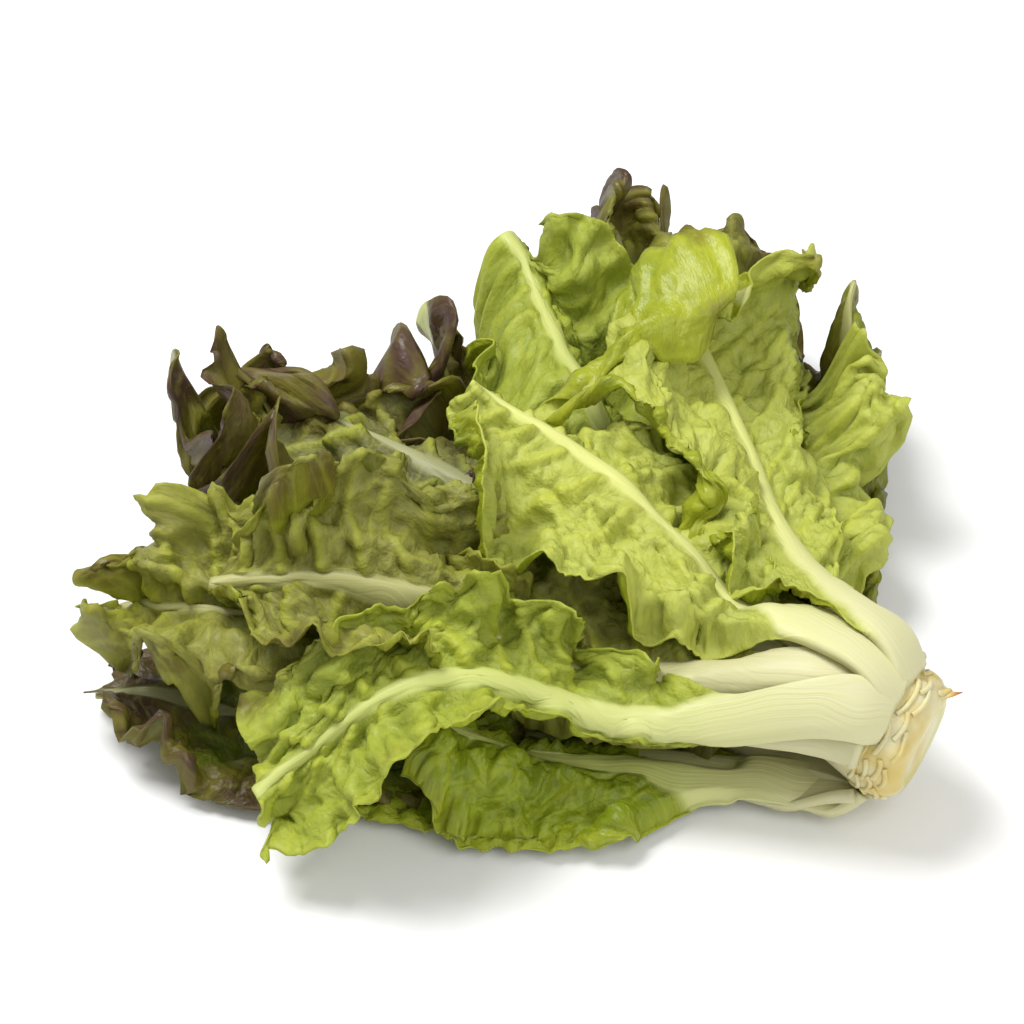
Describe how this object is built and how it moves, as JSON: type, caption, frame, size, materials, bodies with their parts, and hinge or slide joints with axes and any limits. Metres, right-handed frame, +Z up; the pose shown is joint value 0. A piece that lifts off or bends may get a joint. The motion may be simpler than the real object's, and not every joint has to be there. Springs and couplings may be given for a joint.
{
  "type": "leaf lettuce head",
  "caption": "Loose-leaf lettuce lying on its side: frilled leaves fan out from a short trimmed stem, pale at the midribs and turning from green to bronze and purple at the tips.",
  "frame": {"origin": "middle of the head's bounding box in plan, on the surface it lies on", "axes": "+Z up from the surface; the stem points from its cut end to the leaf tips along azimuth 150 degrees, counted from +X towards +Y"},
  "size_m": [0.2829, 0.275, 0.0974],
  "materials": {
    "green_leaf": null,
    "pale_leaf": null,
    "bronze_leaf": null,
    "dark_leaf": null,
    "stem": null
  },
  "bodies": {
    "root": {"heart_leaf_1": "pale_leaf", "heart_leaf_2": "pale_leaf", "inner_leaf_1": "dark_leaf", "inner_leaf_2": "green_leaf", "inner_leaf_3": "dark_leaf", "middle_leaf_1": "dark_leaf", "middle_leaf_2": "dark_leaf", "middle_leaf_3": "bronze_leaf", "middle_leaf_4": "bronze_leaf", "middle_leaf_5": "bronze_leaf", "middle_leaf_6": "bronze_leaf", "middle_leaf_7": "green_leaf", "middle_leaf_8": "pale_leaf", "outer_leaf_1": "green_leaf", "outer_leaf_2": "green_leaf", "outer_leaf_3": "bronze_leaf", "outer_leaf_4": "green_leaf", "outer_leaf_5": "bronze_leaf", "outer_leaf_6": "green_leaf", "outer_leaf_7": "pale_leaf", "outer_leaf_8": "pale_leaf", "stem": "stem"}
  },
  "joints": []
}
